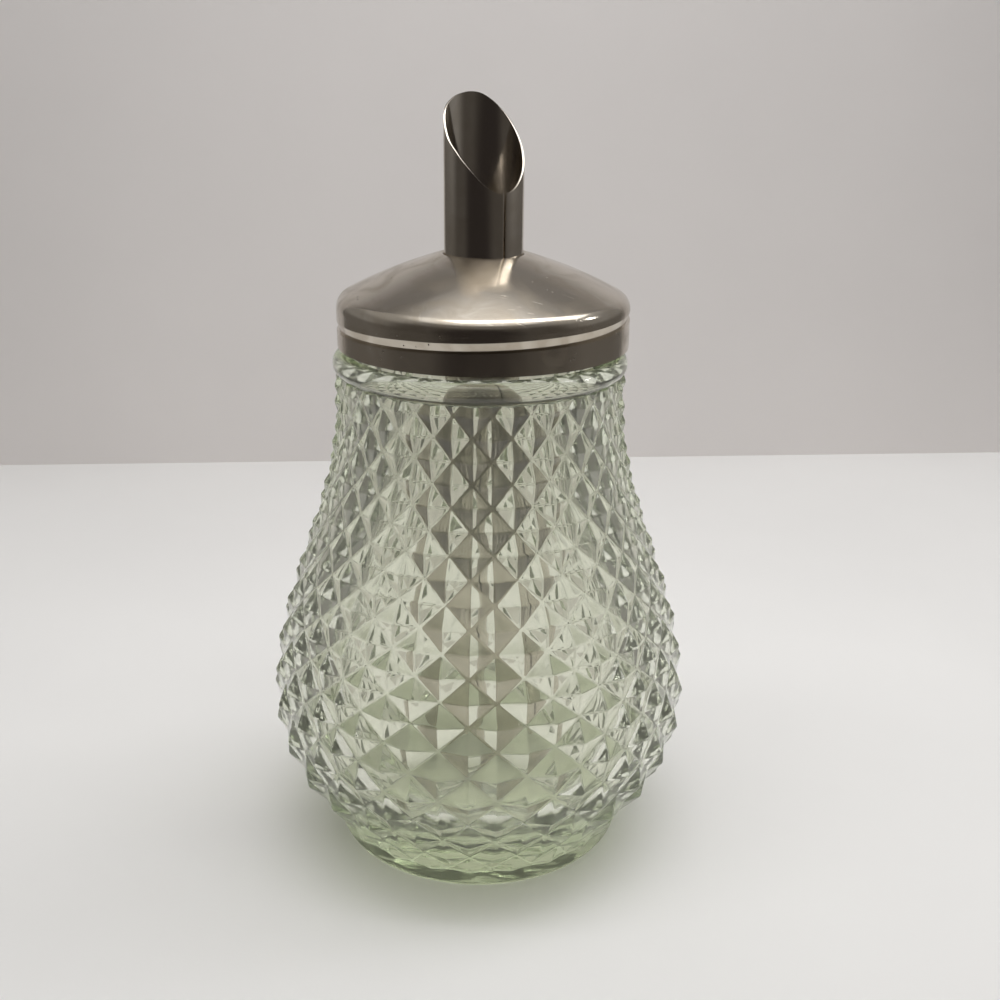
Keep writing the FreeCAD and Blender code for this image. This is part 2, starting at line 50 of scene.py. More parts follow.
# The jar's outside
COLUMNS = 24
BELLY_RADIUS = 44.35 * MM
BELLY_HEIGHT = 32.2 * MM
NECK_RADIUS = 28.85 * MM
SHOULDER_HEIGHT = 100.0 * MM
PATTERN_TOP = 104.8 * MM
FIRST_ROW = 102.97 * MM
UPPER_PITCH = 4.45 * MM
LOWER_PITCH = 5.86 * MM
SPREAD_RISE = 22.6 * MM
RELIEF = 1.6 * MM
FADE_HEIGHT = 15.0 * MM
FADED_RELIEF = 0.7 * MM
RIDGE_ROUND = 0.34 * MM
RIDGE_SEGMENTS = 3
FACET_WEIGHT = 60
FOOT_RADIUS = 32.0 * MM
FOOT_HEIGHT = 4.2 * MM
FOOT_ROUND = 1.2 * MM
FOOT_STEP = 0.3 * MM
# The jar's neck, and the plain glass that runs inside the pattern
BEAD_ROUND = 2.3 * MM
BEAD_CORE = 28.15 * MM
BEAD_ARC = 88
FINISH_RADIUS = 27.3 * MM
RIM_HEIGHT = 120.9 * MM
RIM_ROUND = 0.9 * MM
CORE_RADIUS = FOOT_RADIUS - 4 * MM
CORE_TAPER = 2.0 * MM
CORE_OVERLAP = 0.1 * MM
# The jar's inside: a bowl-shaped floor under a smooth wall
MOUTH_RADIUS = 24.5 * MM
MOUTH_ARC_END = 100
INNER_BELLY = BELLY_RADIUS - 3.2 * MM
FLOOR = 8.0 * MM
BOWL_POWER = 0.8
BOWL_STEPS = 20
BOWL_MIDDLE = 0.4
BOWL_MIDDLE_RISE = 0.35
WALL_STEPS = 32
CUTTER_SPARE = 1.0 * MM
# The lid, with heights above its edge
SHEET = 0.4 * MM
LID_RADIUS = 29.9 * MM
SKIRT_HEIGHT = 7.6 * MM
SHOULDER_ROUND = 3.2 * MM
DOME_ARC = 112.0 * MM
LIP_ROUND = 0.6 * MM
COLLAR_DEPTH = 3.0 * MM
COLLAR_CLEARANCE = 0.1 * MM
LID_STEPS = 256
RINGS_BELOW_GROOVE = 16
RINGS_ABOVE_GROOVE = 30
# The rolled groove, which follows the jar's thread; turns are half turns from the front
THREAD_PITCH = 5.08 * MM
GROOVE_UPPER_FLANK = 1.85 * MM
GROOVE_LEDGE = 0.14 * MM
GROOVE_SLACK = 0.2 * GROOVE_LEDGE
GROOVE_DEPTH = 0.55 * MM
GROOVE_BOTTOM = 4.45 * MM
GROOVE_TURNS = 0.95
GROOVE_RUN_OUT = 0.08
# The pouring tube
TUBE_RADIUS = 7.95 * MM
TUBE_STEPS = 180
SEAM_GAP = 0.4 * MM
SEAM_ANGLE = 30.5
CUT_SLOPE = 48.5
CUT_SPARE = 2.0 * MM
SOFT_EDGE = 0.06 * MM
SOFT_EDGE_ANGLE = math.radians(50)
# Where the hand-made cut leaves its plane: degrees from the seam, and how far up
CUT_DEVIATIONS = ((3, -0.8 * MM), (-62, 0.8 * MM), (-160, -0.7 * MM))
CUT_SPOT = 1.0 * MM
CUT_REACH = 6.0 * MM
CUT_LOWEST = 20.0 * MM

ROUND_STEPS = 192
CUT_THRESHOLD = 1e-7
SMOOTH_ANGLE = math.radians(28)

# Places taken from the frame
lid_low, lid_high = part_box("lid")
tube_low, tube_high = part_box("pouring_tube")
LID_EDGE = lid_low.z
LID_HEIGHT = lid_high.z - lid_low.z
LID_SHIFT_BACK = 0.02 * MM
LID_SHIFT = Vector((tube_high.x - TUBE_RADIUS, LID_SHIFT_BACK, 0))
MOUTH_HEIGHT = tube_high.z - TUBE_RADIUS * math.tan(math.radians(CUT_SLOPE))

# The finishes
GLASS_COLOUR = (0.99, 0.995, 0.93)
GLASS_ROUGHNESS = 0.04
GLASS_IOR = 1.52
GLASS_CLEAR = 0.93
GLASS_TINT = (0.90, 0.945, 0.83)
GLASS_TINT_DENSITY = 44
GLASS_SHADOW = (0.70, 0.705, 0.68)
LID_COLOUR = (0.60, 0.55, 0.475)
TUBE_COLOUR = (0.58, 0.535, 0.475)
SMUDGE_COLOUR = (0.78, 0.75, 0.70)
SPECK_COLOUR = (0.10, 0.085, 0.07)
TABLE_COLOUR = (0.77, 0.765, 0.755)
WALL_COLOUR = (0.88, 0.845, 0.83)
# Painted shade: up the wall from its middle, the wall's colour darkens from one height to another, down
# to a share, standing in for light that falls off higher up
WALL_PAINTED_SHADE = (-0.04, 0.11, 0.42)

# The studio
TABLE_WIDTH = 0.56
TABLE_FRONT = -0.20
TABLE_BACK = 0.50
TABLE_DROP = 0.1 * MM
WALL_WIDTH = 0.57
WALL_HEIGHT = 0.50
WALL_PLACE = (0, 0.2632, 0.249)
WALL_TURN = 6
# Name, place, what it shines at, size, watts, and whether it shows in reflections
LAMPS = (
    ("window", (0.20, 0.08, 0.85), (0.02, 0, 0.05), (0.30, 0.90), 2.7, True),
    ("side_window", (0.62, 0.15, 0.50), (0, 0, 0.10), (0.06, 0.08), 0.22, True),
    ("wall_light", (0.00, -0.05, 0.36), (0.02, 0.26, 0.10), (0.40, 0.06), 0.45, False),
)
CAMERA_LENS = 44.25
CAMERA_SENSOR = 36
CAMERA_PLACE = (0.01250, -0.24947, 0.1666)
CAMERA_AIM = (0.004354, 0.000142, 0.0760)
CAMERA_ROLL = 0.54


# ---------------------------------------------------------------------------- bench helpers


def clear_selection():
    if bpy.context.object and bpy.context.object.mode != "OBJECT":
        bpy.ops.object.mode_set(mode="OBJECT")
    bpy.ops.object.select_all(action="DESELECT")


def pick(piece):
    clear_selection()
    piece.select_set(True)
    bpy.context.view_layer.objects.active = piece


def named(name):
    """Leaves edit mode and names the piece that was just made."""
    bpy.ops.object.mode_set(mode="OBJECT")
    piece = bpy.context.object
    piece.name = name
    piece.data.name = name
    bpy.ops.object.transform_apply(location=True, rotation=True, scale=True)
    return piece


def select_where(piece, kind, test):
    """In edit mode, selects the vertices, edges or faces of a piece that pass a test."""
    bpy.ops.mesh.select_mode(type=kind)
    bpy.ops.mesh.select_all(action="DESELECT")
    bpy.ops.object.mode_set(mode="OBJECT")
    mesh = piece.data
    parts = {"VERT": mesh.vertices, "EDGE": mesh.edges, "FACE": mesh.polygons}[kind]
    parts.foreach_set("select", [bool(test(part)) for part in parts])
    bpy.ops.object.mode_set(mode="EDIT")


def apply_modifier(piece, name, kind, **settings):
    """Gives a piece a modifier with these settings, and applies it."""
    pick(piece)
    modifier = piece.modifiers.new(name, kind)
    for setting, value in settings.items():
        setattr(modifier, setting, value)
    bpy.ops.object.modifier_apply(modifier=modifier.name)


def press_on(piece, tool, operation):
    """Adds a solid to a piece, or cuts it out, and clears the solid away."""
    apply_modifier(piece, "press", "BOOLEAN", operation=operation, solver="EXACT", object=tool)
    bpy.data.objects.remove(tool)


def arc_points(centre_radius, centre_height, arc_radius, start, end, steps):
    """Points (radius, height) along an arc of a turned section; angles in degrees from +radius."""
    points = []
    for step in range(steps + 1):
        angle = math.radians(start + (end - start) * step / steps)
        points.append(
            (centre_radius + arc_radius * math.cos(angle), centre_height + arc_radius * math.sin(angle))
        )
    return points


def turn_up(section, steps=ROUND_STEPS, close_ends=True):
    """Raises a turned piece ring by ring: each ring is extruded from the last and scaled."""
    clear_selection()
    radius, height = section[0]
    bpy.ops.mesh.primitive_circle_add(
        vertices=steps,
        radius=radius,
        fill_type="NGON" if close_ends else "NOTHING",
        location=(0, 0, 0),
        enter_editmode=True,
    )
    bpy.ops.mesh.select_mode(type="EDGE")
    bpy.ops.mesh.select_all(action="SELECT")
    bpy.ops.transform.translate(value=(0, 0, height))
    for next_radius, next_height in section[1:]:
        bpy.ops.mesh.extrude_edges_move(
            TRANSFORM_OT_translate={"value": (0, 0, next_height - height)}
        )
        scale = next_radius / radius
        bpy.ops.transform.resize(value=(scale, scale, 1), center_override=(0, 0, next_height))
        radius, height = next_radius, next_height
    if close_ends:
        bpy.ops.mesh.edge_face_add()
    bpy.ops.mesh.select_all(action="SELECT")
    bpy.ops.mesh.normals_make_consistent(inside=False)


def half_turns(point):
    """Where a point stands round the axis, from -1 to 1, with the front at 0."""
    return math.atan2(point.x, -point.y) / math.pi


def shade(piece):
    pick(piece)
    bpy.ops.object.shade_smooth_by_angle(angle=SMOOTH_ANGLE)


# ---------------------------------------------------------------------------- jar


def groove_radius(height):
    """Radius of the jar in the grooves of its pattern."""
    if height >= SHOULDER_HEIGHT:
        return NECK_RADIUS
    if height >= BELLY_HEIGHT:
        share = (height - BELLY_HEIGHT) / (SHOULDER_HEIGHT - BELLY_HEIGHT)
        return BELLY_RADIUS + (NECK_RADIUS - BELLY_RADIUS) * (1 - math.cos(math.pi * share)) / 2
    start = FOOT_RADIUS + FOOT_STEP
    share = (height - FOOT_HEIGHT) / (BELLY_HEIGHT - FOOT_HEIGHT)
    return start + (BELLY_RADIUS - start) * math.sin(math.pi / 2 * share)


def row_heights():
    """Rows of groove crossings, from two rows above the pattern down to below the foot's top."""
    heights = [FIRST_ROW + 2 * UPPER_PITCH, FIRST_ROW + UPPER_PITCH, FIRST_ROW]
    while heights[-2] > FOOT_HEIGHT:
        share = min(max((heights[-1] - BELLY_HEIGHT) / SPREAD_RISE, 0), 1)
        blend = share * share * (3 - 2 * share)
        heights.append(heights[-1] - (LOWER_PITCH + (UPPER_PITCH - LOWER_PITCH) * blend))
    return heights


def make_belt():
    """The diamond pattern. A ring grid has its corners turn by turn in the grooves and at the
    points; the points are drawn out and every face is split along its groove.
    """
    heights = row_heights()
    turn_up([(groove_radius(height), height) for height in heights], steps=2 * COLUMNS)
    belt = bpy.context.object

    def ring_and_place(corner):
        ring = min(range(len(heights)), key=lambda number: abs(heights[number] - corner.co.z))
        return ring, round(half_turns(corner.co) * COLUMNS)

    def is_point(corner):
        ring, place = ring_and_place(corner)
        return (ring + place) % 2 == 0 and 0 < ring < len(heights) - 1

    def is_crossing(corner):
        ring, place = ring_and_place(corner)
        return (ring + place) % 2 == 1 or ring in (0, len(heights) - 1)

    select_where(belt, "VERT", lambda corner: is_point(corner) and corner.co.z > FADE_HEIGHT)
    bpy.ops.transform.shrink_fatten(value=RELIEF)
    select_where(belt, "VERT", lambda corner: is_point(corner) and corner.co.z <= FADE_HEIGHT)
    bpy.ops.transform.shrink_fatten(value=FADED_RELIEF)
    select_where(belt, "VERT", is_crossing)
    bpy.ops.mesh.vert_connect()
    select_where(belt, "FACE", lambda face: len(face.vertices) == 3)
    bpy.ops.mesh.select_mode(type="EDGE")
    bpy.ops.mesh.bevel(
        offset=RIDGE_ROUND, segments=RIDGE_SEGMENTS, affect="EDGES", clamp_overlap=True
    )
    for height, outward in ((PATTERN_TOP, 1), (FOOT_HEIGHT, -1)):
        bpy.ops.mesh.select_all(action="SELECT")
        bpy.ops.mesh.bisect(
            plane_co=(0, 0, height),
            plane_no=(0, 0, outward),
            use_fill=True,
            clear_outer=True,
            threshold=CUT_THRESHOLD,
        )
    return named("belt")


def make_plain_glass():
    """Foot, bead and plain neck in one turned piece, which runs inside the pattern between them."""
    bead_height = PATTERN_TOP + BEAD_ROUND
    foot_edge = FOOT_RADIUS - FOOT_ROUND
    rim_edge = FINISH_RADIUS - RIM_ROUND
    section = [(CORE_RADIUS - CORE_TAPER, 0)]
    section += arc_points(foot_edge, FOOT_ROUND, FOOT_ROUND, start=-90, end=0, steps=8)
    section += [(FOOT_RADIUS, FOOT_HEIGHT), (CORE_RADIUS, FOOT_HEIGHT + CORE_TAPER)]
    section += [(BEAD_CORE - CORE_TAPER, SHOULDER_HEIGHT), (BEAD_CORE, PATTERN_TOP - CORE_OVERLAP)]
    section += arc_points(
        BEAD_CORE, bead_height, BEAD_ROUND, start=-BEAD_ARC, end=BEAD_ARC, steps=24
    )
    section += [(FINISH_RADIUS, bead_height + BEAD_ROUND)]
    section += arc_points(rim_edge, RIM_HEIGHT - RIM_ROUND, RIM_ROUND, start=0, end=90, steps=6)
    turn_up(section)
    return named("plain_glass")


def make_cavity():
    """The space inside the jar: a bowl-shaped floor, a smooth wall and a straight mouth."""
    section = []
    for step in range(1, BOWL_STEPS + 1):
        angle = math.pi / 2 * step / BOWL_STEPS
        fall = (BELLY_HEIGHT - FLOOR) * math.cos(angle) ** BOWL_POWER
        section.append((INNER_BELLY * math.sin(angle) ** BOWL_POWER, BELLY_HEIGHT - fall))
    first_radius, first_height = section[0]
    middle_height = FLOOR + BOWL_MIDDLE_RISE * (first_height - FLOOR)
    section.insert(0, (BOWL_MIDDLE * first_radius, middle_height))
    for step in range(1, WALL_STEPS + 1):
        share = step / WALL_STEPS
        radius = INNER_BELLY + (MOUTH_RADIUS - INNER_BELLY) * (1 - math.cos(math.pi * share)) / 2
        section.append((radius, BELLY_HEIGHT + (SHOULDER_HEIGHT - BELLY_HEIGHT) * share))
    mouth_edge = MOUTH_RADIUS + RIM_ROUND
    section += arc_points(
        mouth_edge, RIM_HEIGHT - RIM_ROUND, RIM_ROUND, start=180, end=MOUTH_ARC_END, steps=6
    )
    section.append((mouth_edge, RIM_HEIGHT + CUTTER_SPARE))
    turn_up(section)
    return named("cavity")


def make_jar():
    """The pattern joined to the plain glass, and hollowed."""
    jar = make_belt()
    press_on(jar, make_plain_glass(), "UNION")
    press_on(jar, make_cavity(), "DIFFERENCE")
    jar.name = "pressed_glass"
    shade(jar)
    apply_modifier(
        jar, "facets_flatter", "WEIGHTED_NORMAL", keep_sharp=True, weight=FACET_WEIGHT
    )
    return jar


# ---------------------------------------------------------------------------- lid


def dome_centre(shoulder, lip):
    """Centre of the dome's arc, which touches the roundings of the shoulder and the lip."""
    to_shoulder = DOME_ARC - SHOULDER_ROUND
    to_lip = DOME_ARC - LIP_ROUND
    between = lip - shoulder
    along = (to_shoulder**2 - to_lip**2 + between.length_squared) / (2 * between.length)
    aside = math.sqrt(to_shoulder**2 - along**2)
    forward = between.normalized()
    downward = Vector((-forward.y, forward.x))
    return shoulder + forward * along + downward * aside


def lid_section():
    """The outer face of the pressed sheet, from the skirt's edge to the collar's end."""
    hole = TUBE_RADIUS + COLLAR_CLEARANCE
    shoulder = Vector((LID_RADIUS - SHOULDER_ROUND, SKIRT_HEIGHT))
    lip = Vector((hole + LIP_ROUND, LID_HEIGHT - LIP_ROUND))
    centre = dome_centre(shoulder, lip)
    shoulder_angle = math.degrees(math.atan2(shoulder.y - centre.y, shoulder.x - centre.x))
    lip_angle = math.degrees(math.atan2(lip.y - centre.y, lip.x - centre.x))
    heights = [GROOVE_BOTTOM * ring / RINGS_BELOW_GROOVE for ring in range(RINGS_BELOW_GROOVE)]
    heights.append(GROOVE_BOTTOM - GROOVE_LEDGE)
    climb = SKIRT_HEIGHT - GROOVE_BOTTOM
    for ring in range(RINGS_ABOVE_GROOVE):
        heights.append(GROOVE_BOTTOM + climb * ring / RINGS_ABOVE_GROOVE)
    section = [(LID_RADIUS, height) for height in heights]
    section += arc_points(*shoulder, SHOULDER_ROUND, start=0, end=shoulder_angle, steps=20)
    section += arc_points(*centre, DOME_ARC, start=shoulder_angle, end=lip_angle, steps=28)[1:]
    section += arc_points(*lip, LIP_ROUND, start=lip_angle, end=180, steps=10)[1:]
    section.append((hole, LID_HEIGHT - COLLAR_DEPTH))
    return section


def groove_lean(point):
    """How far a point of the skirt moves up or down, from -1 to 1, for its ring to follow the
    thread. The ring at the groove's bottom moves most, and the skirt's ends stay put.
    """
    turn = half_turns(point)
    taper = min((1 - abs(turn)) / (1 - GROOVE_TURNS), 1)
    if point.z < GROOVE_BOTTOM:
        return turn * taper * point.z / GROOVE_BOTTOM
    return turn * taper * max(SKIRT_HEIGHT - point.z, 0) / (SKIRT_HEIGHT - GROOVE_BOTTOM)


def groove_share(point):
    """How deep the rolled groove is at a point of the skirt, from 0 to 1: a slope under the
    dome, down to a ledge that follows the thread.
    """
    turn = half_turns(point)
    above = point.z - GROOVE_BOTTOM - THREAD_PITCH / 2 * turn
    if above < -GROOVE_SLACK or above > GROOVE_UPPER_FLANK:
        return 0
    run_out = min(max(GROOVE_TURNS - abs(turn), 0) / GROOVE_RUN_OUT, 1)
    return (1 - max(above, 0) / GROOVE_UPPER_FLANK) * run_out


def push(piece, name, share, distance, direction):
    """Moves each corner by its share of a distance; the shares are kept in a vertex group."""
    group = piece.vertex_groups.new(name=name)
    for corner in piece.data.vertices:
        weight = share(corner.co)
        if weight > 0:
            group.add([corner.index], weight, "REPLACE")
    apply_modifier(
        piece,
        "push",
        "DISPLACE",
        vertex_group=group.name,
        direction=direction,
        mid_level=0,
        strength=distance,
    )


def thicken(piece):
    """Turns a face into sheet metal, with its thickness on the inside."""
    apply_modifier(piece, "wall", "SOLIDIFY", thickness=SHEET, offset=-1)


def make_lid():
    """Pressed from one sheet, with its thread rolled in."""
    turn_up(lid_section(), steps=LID_STEPS, close_ends=False)
    lid = named("pressed_lid")
    push(lid, "rise", groove_lean, THREAD_PITCH / 2, "Z")
    push(lid, "fall", lambda point: -groove_lean(point), -THREAD_PITCH / 2, "Z")
    push(lid, "rolled_groove", groove_share, -GROOVE_DEPTH, "NORMAL")
    thicken(lid)
    lid.location = LID_SHIFT + Vector((0, 0, LID_EDGE))
    bpy.ops.object.transform_apply(location=True, rotation=False, scale=False)
    shade(lid)
    return lid


# ---------------------------------------------------------------------------- pouring tube


def make_tube():
    """Rolled from a strip whose edges nearly meet, and cut off slanting."""
    clear_selection()
    bpy.ops.mesh.primitive_plane_add(size=1, location=(0, 0, 0), enter_editmode=True)
    tube = bpy.context.object
    select_where(tube, "VERT", lambda corner: corner.co.x > 0)
    bpy.ops.mesh.delete(type="VERT")
    bpy.ops.mesh.select_all(action="SELECT")
    bpy.ops.object.mode_set(mode="OBJECT")
    half_gap = math.asin(SEAM_GAP / 2 / TUBE_RADIUS)
    low, high = sorted(tube.data.vertices, key=lambda corner: corner.co.y)
    low.co = (TUBE_RADIUS * math.sin(half_gap), -TUBE_RADIUS * math.cos(half_gap), tube_low.z)
    high.co = (low.co.x, low.co.y, tube_high.z + CUT_SPARE)
    bpy.ops.object.mode_set(mode="EDIT")
    bpy.ops.mesh.spin(
        steps=TUBE_STEPS, angle=2 * (math.pi - half_gap), center=(0, 0, 0), axis=(0, 0, 1)
    )
    bpy.ops.mesh.select_all(action="SELECT")
    slope = math.radians(CUT_SLOPE)
    bpy.ops.mesh.bisect(
        plane_co=(0, 0, MOUTH_HEIGHT),
        plane_no=(0, -math.sin(slope), math.cos(slope)),
        clear_outer=True,
        threshold=CUT_THRESHOLD,
    )
    bend_cut(tube)
    bpy.ops.mesh.select_all(action="SELECT")
    bpy.ops.mesh.normals_make_consistent(inside=False)
    tube = named("rolled_tube")
    thicken(tube)
    apply_modifier(
        tube,
        "soft_edges",
        "BEVEL",
        width=SOFT_EDGE,
        segments=2,
        limit_method="ANGLE",
        angle_limit=SOFT_EDGE_ANGLE,
    )
    bpy.ops.object.mode_set(mode="EDIT")
    bpy.ops.mesh.select_all(action="SELECT")
    bpy.ops.transform.rotate(
        value=-math.radians(SEAM_ANGLE), orient_axis="Z", center_override=(0, 0, 0)
    )
    bpy.ops.transform.translate(value=LID_SHIFT)
    bpy.ops.object.mode_set(mode="OBJECT")
    shade(tube)
    return tube


def bend_cut(tube):
    """Lifts and lowers the cut's edge where the hand-made cut leaves its plane."""
    for around, lift in CUT_DEVIATIONS:
        seam_side = math.radians(around)
        spot = Vector((TUBE_RADIUS * math.sin(seam_side), -TUBE_RADIUS * math.cos(seam_side)))
        select_where(
            tube,
            "VERT",
            lambda corner: (
                corner.co.z > tube_low.z + CUT_LOWEST and (corner.co.xy - spot).length < CUT_SPOT
            ),
        )
        bpy.ops.transform.translate(
            value=(0, 0, lift),
            use_proportional_edit=True,
            proportional_edit_falloff="SMOOTH",
            proportional_size=CUT_REACH,
        )


# ---------------------------------------------------------------------------- node helpers


def fill(tree, socket, value):
    """Links a socket to an output, or sets it to a number or a colour."""
    if isinstance(value, bpy.types.NodeSocket):
        tree.links.new(value, socket)
    elif isinstance(value, tuple):
        socket.default_value = (*value, 1)
    else:
        socket.default_value = value


def noise(tree, vector, scale, detail, distortion=0.0):
    texture = tree.nodes.new("ShaderNodeTexNoise")
    texture.inputs["Scale"].default_value = scale
    texture.inputs["Detail"].default_value = detail
    texture.inputs["Distortion"].default_value = distortion
    tree.links.new(vector, texture.inputs["Vector"])
    return texture.outputs["Fac"]


def stretched(tree, vector, scale):
    mapping = tree.nodes.new("ShaderNodeMapping")
    mapping.inputs["Scale"].default_value = scale
    tree.links.new(vector, mapping.inputs["Vector"])
    return mapping.outputs["Vector"]


def ranged(tree, source, low, high, first=0.0, last=1.0, interpolation="LINEAR"):
    """A value carried over from one range to another, and held at its ends."""
    span = tree.nodes.new("ShaderNodeMapRange")
    span.interpolation_type = interpolation
    fill(tree, span.inputs["Value"], source)
    fill(tree, span.inputs["From Min"], low)
    fill(tree, span.inputs["From Max"], high)
    fill(tree, span.inputs["To Min"], first)
    fill(tree, span.inputs["To Max"], last)
    return span.outputs["Result"]


def worked(tree, operation, *values):
    """The result of arithmetic on outputs and numbers."""
    node = tree.nodes.new("ShaderNodeMath")
    node.operation = operation
    for socket, value in zip(node.inputs, values):
        fill(tree, socket, value)
    return node.outputs["Value"]


def mixed(tree, share, first, second, blend_type="MIX"):
    """Two colours mixed by a share."""
    mix = tree.nodes.new("ShaderNodeMix")
    mix.data_type = "RGBA"
    mix.blend_type = blend_type
    fill(tree, mix.inputs["Factor"], share)
    fill(tree, mix.inputs["A"], first)
    fill(tree, mix.inputs["B"], second)
    return mix.outputs["Result"]


def bumped(tree, height, strength, distance, invert=False):
    """The normal of a surface raised by a height from 0 to 1."""
    bump = tree.nodes.new("ShaderNodeBump")
    bump.invert = invert
    bump.inputs["Strength"].default_value = strength
    bump.inputs["Distance"].default_value = distance
    tree.links.new(height, bump.inputs["Height"])
    return bump.outputs["Normal"]


def object_place(tree):
    return tree.nodes.new("ShaderNodeTexCoord").outputs["Object"]


# ---------------------------------------------------------------------------- finishes


def new_material(name):
    material = bpy.data.materials.new(name)
    material.use_nodes = True
    tree = material.node_tree
    return material, tree, tree.nodes["Principled BSDF"]


def glass_finish():
    """Pressed glass with a yellow-green cast that shows where it is thick, and a wavy skin. Lamps
    shine through it onto what stands behind, as the caustics of real glass light a table.
    """
    material, tree, shader = new_material("green_tinted_glass")
    output = tree.nodes["Material Output"]
    fill(tree, shader.inputs["Base Color"], GLASS_COLOUR)
    fill(tree, shader.inputs["Roughness"], GLASS_ROUGHNESS)
    fill(tree, shader.inputs["IOR"], GLASS_IOR)
    fill(tree, shader.inputs["Transmission Weight"], GLASS_CLEAR)
    waves = noise(tree, object_place(tree), scale=170, detail=0.0)
    skin = bumped(tree, waves, strength=0.4, distance=0.5 * MM)
    fill(tree, shader.inputs["Normal"], skin)
    tint = tree.nodes.new("ShaderNodeVolumeAbsorption")
    fill(tree, tint.inputs["Color"], GLASS_TINT)
    fill(tree, tint.inputs["Density"], GLASS_TINT_DENSITY)
    fill(tree, output.inputs["Volume"], tint.outputs["Volume"])
    let_through = tree.nodes.new("ShaderNodeBsdfTransparent")
    fill(tree, let_through.inputs["Color"], GLASS_SHADOW)
    rays = tree.nodes.new("ShaderNodeLightPath")
    either = tree.nodes.new("ShaderNodeMixShader")
    fill(tree, either.inputs["Fac"], rays.outputs["Is Shadow Ray"])
    fill(tree, either.inputs[1], shader.outputs["BSDF"])
    fill(tree, either.inputs[2], let_through.outputs["BSDF"])
    fill(tree, output.inputs["Surface"], either.outputs["Shader"])
    return material


def wear_group():
    """Wear that the lid and the tube share: smudges, fine scratches and a few dark specks."""
    tree = bpy.data.node_groups.new("worn_steel", "ShaderNodeTree")
    for name, kind in (
        ("Place", "NodeSocketVector"),
        ("Colour", "NodeSocketColor"),
        ("Roughness", "NodeSocketFloat"),
        ("Smudges", "NodeSocketFloat"),
        ("Scratches", "NodeSocketFloat"),
    ):
        tree.interface.new_socket(name=name, in_out="INPUT", socket_type=kind)
    for name, kind in (
        ("Colour", "NodeSocketColor"),
        ("Roughness", "NodeSocketFloat"),
        ("Normal", "NodeSocketVector"),
    ):
        tree.interface.new_socket(name=name, in_out="OUTPUT", socket_type=kind)
    given = tree.nodes.new("NodeGroupInput").outputs
    put_out = tree.nodes.new("NodeGroupOutput").inputs
    place = given["Place"]

    # Smudges
    clouds = noise(tree, place, scale=120, detail=6.0, distortion=1.2)
    smudged = worked(tree, "MULTIPLY", ranged(tree, clouds, 0.42, 0.66), given["Smudges"])

    # Scratches, front to back and side to side, in patches
    front_to_back = stretched(tree, place, (2600, 160, 160))
    side_to_side = stretched(tree, place, (190, 2900, 170))
    lines = worked(
        tree,
        "MAXIMUM",
        noise(tree, front_to_back, scale=1.0, detail=2.0, distortion=0.3),
        noise(tree, side_to_side, scale=1.0, detail=2.0, distortion=0.3),
    )
    patches = noise(tree, place, scale=60, detail=1.0)
    scratched = worked(
        tree, "MULTIPLY", ranged(tree, lines, 0.68, 0.74), ranged(tree, patches, 0.50, 0.60)
    )
    scratched = worked(tree, "MULTIPLY", scratched, given["Scratches"])

    # Dark specks, in some places only
    spots = tree.nodes.new("ShaderNodeTexVoronoi")
    spots.inputs["Scale"].default_value = 420
    fill(tree, spots.inputs["Vector"], place)
    dots = ranged(tree, spots.outputs["Distance"], 0.05, 0.10, first=1.0, last=0.0)
    speckled_places = ranged(tree, noise(tree, place, scale=48, detail=1.0), 0.54, 0.60)
    specks = worked(tree, "MULTIPLY", dots, speckled_places)

    # What the wear does to the steel
    darker = mixed(tree, smudged, given["Colour"], SMUDGE_COLOUR, blend_type="MULTIPLY")
    speck_share = worked(tree, "MULTIPLY", specks, 0.75)
    fill(tree, put_out["Colour"], mixed(tree, speck_share, darker, SPECK_COLOUR))
    dull = worked(tree, "MULTIPLY_ADD", smudged, 0.16, given["Roughness"])
    fill(tree, put_out["Roughness"], worked(tree, "MAXIMUM", dull, specks))
    dents = bumped(tree, scratched, strength=0.35, distance=0.03 * MM, invert=True)
    fill(tree, put_out["Normal"], dents)
    return tree


def steel_finish(name, group, colour, roughness, smudges, scratches):
    """Bright steel with its share of the common wear."""
    material, tree, shader = new_material(name)
    shader.inputs["Metallic"].default_value = 1
    wear = tree.nodes.new("ShaderNodeGroup")
    wear.node_tree = group
    fill(tree, wear.inputs["Place"], object_place(tree))
    fill(tree, wear.inputs["Colour"], colour)
    fill(tree, wear.inputs["Roughness"], roughness)
    fill(tree, wear.inputs["Smudges"], smudges)
    fill(tree, wear.inputs["Scratches"], scratches)
    fill(tree, shader.inputs["Base Color"], wear.outputs["Colour"])
    fill(tree, shader.inputs["Roughness"], wear.outputs["Roughness"])
    fill(tree, shader.inputs["Normal"], wear.outputs["Normal"])
    return material


def matt_finish(name, colour, grain_scale, painted_shade=None):
    """Matt paint with a faint mottle and grain. Its last argument, if given, is (from height, to
    height, how bright) and paints shade into the colour, darker up the board.
    """
    material, tree, shader = new_material(name)
    shader.inputs["Roughness"].default_value = 0.75
    place = object_place(tree)
    tone = ranged(tree, noise(tree, place, scale=9, detail=3.0), 0.35, 0.65, first=0.97)
    # Painted shade: the colour is darkened from one height up the board to the next
    if painted_shade:
        low, high, bright = painted_shade
        split = tree.nodes.new("ShaderNodeSeparateXYZ")
        fill(tree, split.inputs["Vector"], place)
        painted_dimming = ranged(tree, split.outputs["Y"], low, high, first=1.0, last=bright)
        tone = worked(tree, "MULTIPLY", tone, painted_dimming)
    fill(tree, shader.inputs["Base Color"], mixed(tree, 1, colour, tone, blend_type="MULTIPLY"))
    grain = noise(tree, place, scale=grain_scale, detail=3.0)
    fill(tree, shader.inputs["Normal"], bumped(tree, grain, strength=0.12, distance=0.1 * MM))
    return material


def finish_with(piece, material, node):
    """Gives a piece its finish, and has it stand for its CAD node."""
    piece.data.materials.clear()
    piece.data.materials.append(material)
    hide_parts(node)
    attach(piece, "root")


# ---------------------------------------------------------------------------- studio


